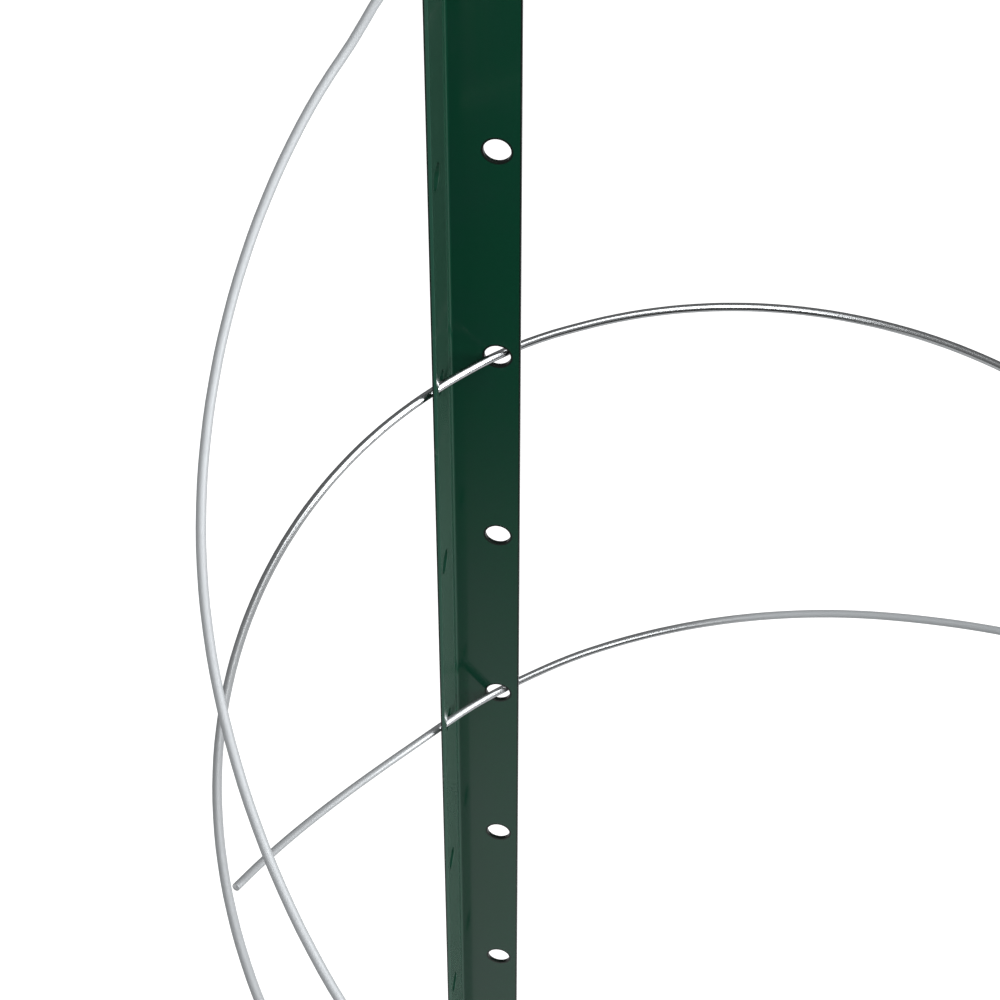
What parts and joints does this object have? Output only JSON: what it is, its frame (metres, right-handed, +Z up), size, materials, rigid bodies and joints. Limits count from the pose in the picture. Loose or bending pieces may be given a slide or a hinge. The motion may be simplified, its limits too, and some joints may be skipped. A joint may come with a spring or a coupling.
{
  "type": "plant support with wire coil",
  "caption": "Tall plant support: a drilled green steel angle stake with a springy galvanised wire coil threaded through it.",
  "frame": {"origin": "heel of the angle stake at the soil line", "axes": "+Z up along the stake; the face flange runs along +X from the heel and the side flange along -Y, so the hollow of the angle looks along (1, -1) into the coil"},
  "size_m": [0.4445, 0.4062, 1.2192],
  "materials": {
    "stake": "glossy dark green powder coat",
    "coil": "galvanised drawn wire, semi-bright with fine lengthwise streaks"
  },
  "bodies": {
    "stake": {"angle_stake": "stake"},
    "coil": {"support_coil": "coil"}
  },
  "joints": [
    {"name": "coil_lift", "type": "slide", "parent": "stake", "child": "coil", "axis": [0, 0, 1], "range_m": [0, 0.003]}
  ]
}
